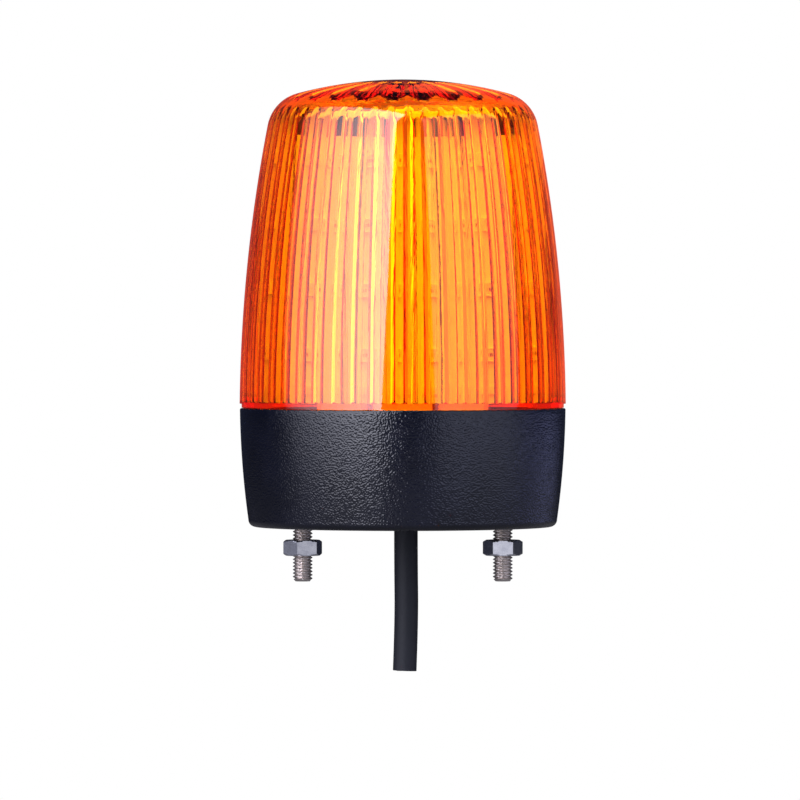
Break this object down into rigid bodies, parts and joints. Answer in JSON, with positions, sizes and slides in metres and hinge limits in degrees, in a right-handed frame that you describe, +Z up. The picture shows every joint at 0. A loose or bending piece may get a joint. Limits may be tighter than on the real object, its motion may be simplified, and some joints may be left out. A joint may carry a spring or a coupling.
{
  "type": "led beacon",
  "caption": "Panel-mount LED warning beacon: ribbed amber bayonet lens over a tower of LED boards on a black base with threaded studs and a short cable.",
  "frame": {"origin": "middle of the mounting face, halfway between the two studs", "axes": "+Z up along the lens axis, away from the panel; +X along the line of the studs; front towards -Y"},
  "size_m": [0.066, 0.066, 0.1197],
  "materials": {
    "lens_amber": "clear amber polycarbonate, polished outside",
    "seal_rubber": "soft black rubber",
    "base_black": "black moulded plastic with a fine spark-eroded grain",
    "gasket_foam": "closed-cell gasket rubber",
    "stud_steel": "rolled stainless thread",
    "nut_zinc": "bright zinc plate",
    "cable_sheath": "satin dark sheath",
    "core_brown": "insulated core",
    "core_blue": "insulated core",
    "solder_tin": "bright solder",
    "tie_nylon": "natural nylon",
    "driver_laminate": "green solder mask",
    "screw_steel": "plated steel",
    "capacitor_can": "bare can",
    "choke_ferrite": "ferrite",
    "package_black": "moulded epoxy",
    "fuse_ceramic": "pale ceramic",
    "carrier_dark": "dark brown moulded plastic",
    "led_laminate": "white solder mask",
    "led_package": "white package with a yellow window",
    "resistor_chip": "black chip with tinned ends"
  },
  "bodies": {
    "base": {"base_housing": "base_black", "base_gasket": "gasket_foam", "mounting_studs": "stud_steel", "mounting_nuts": "nut_zinc", "cable_grommet": "seal_rubber", "supply_cable": "cable_sheath", "cable_tail": "cable_sheath", "core_brown": "core_brown", "core_blue": "core_blue", "core_solder": "solder_tin", "cable_tie": "tie_nylon", "driver_board": "driver_laminate", "board_screws": "screw_steel", "board_solder": "solder_tin", "storage_capacitor": "capacitor_can", "filter_choke": "choke_ferrite", "bridge_rectifier": "package_black", "driver_chip": "package_black", "input_fuse": "fuse_ceramic", "led_carrier": "carrier_dark", "leds": "led_package", "led_resistors": "resistor_chip", "top_board": "led_laminate", "top_leds": "led_package", "tower_screw": "screw_steel", "led_board_1": "led_laminate", "led_board_2": "led_laminate", "led_board_3": "led_laminate", "led_board_4": "led_laminate", "led_board_5": "led_laminate", "led_board_6": "led_laminate", "led_board_7": "led_laminate", "led_board_8": "led_laminate"},
    "lens": {"lens": "lens_amber", "lens_seal": "seal_rubber"}
  },
  "joints": [
    {"name": "lens_twist", "type": "hinge", "parent": "base", "child": "lens", "pos_m": [0, 0, 0.024], "axis": [0, 0, 1], "range_deg": [0, 30]}
  ]
}
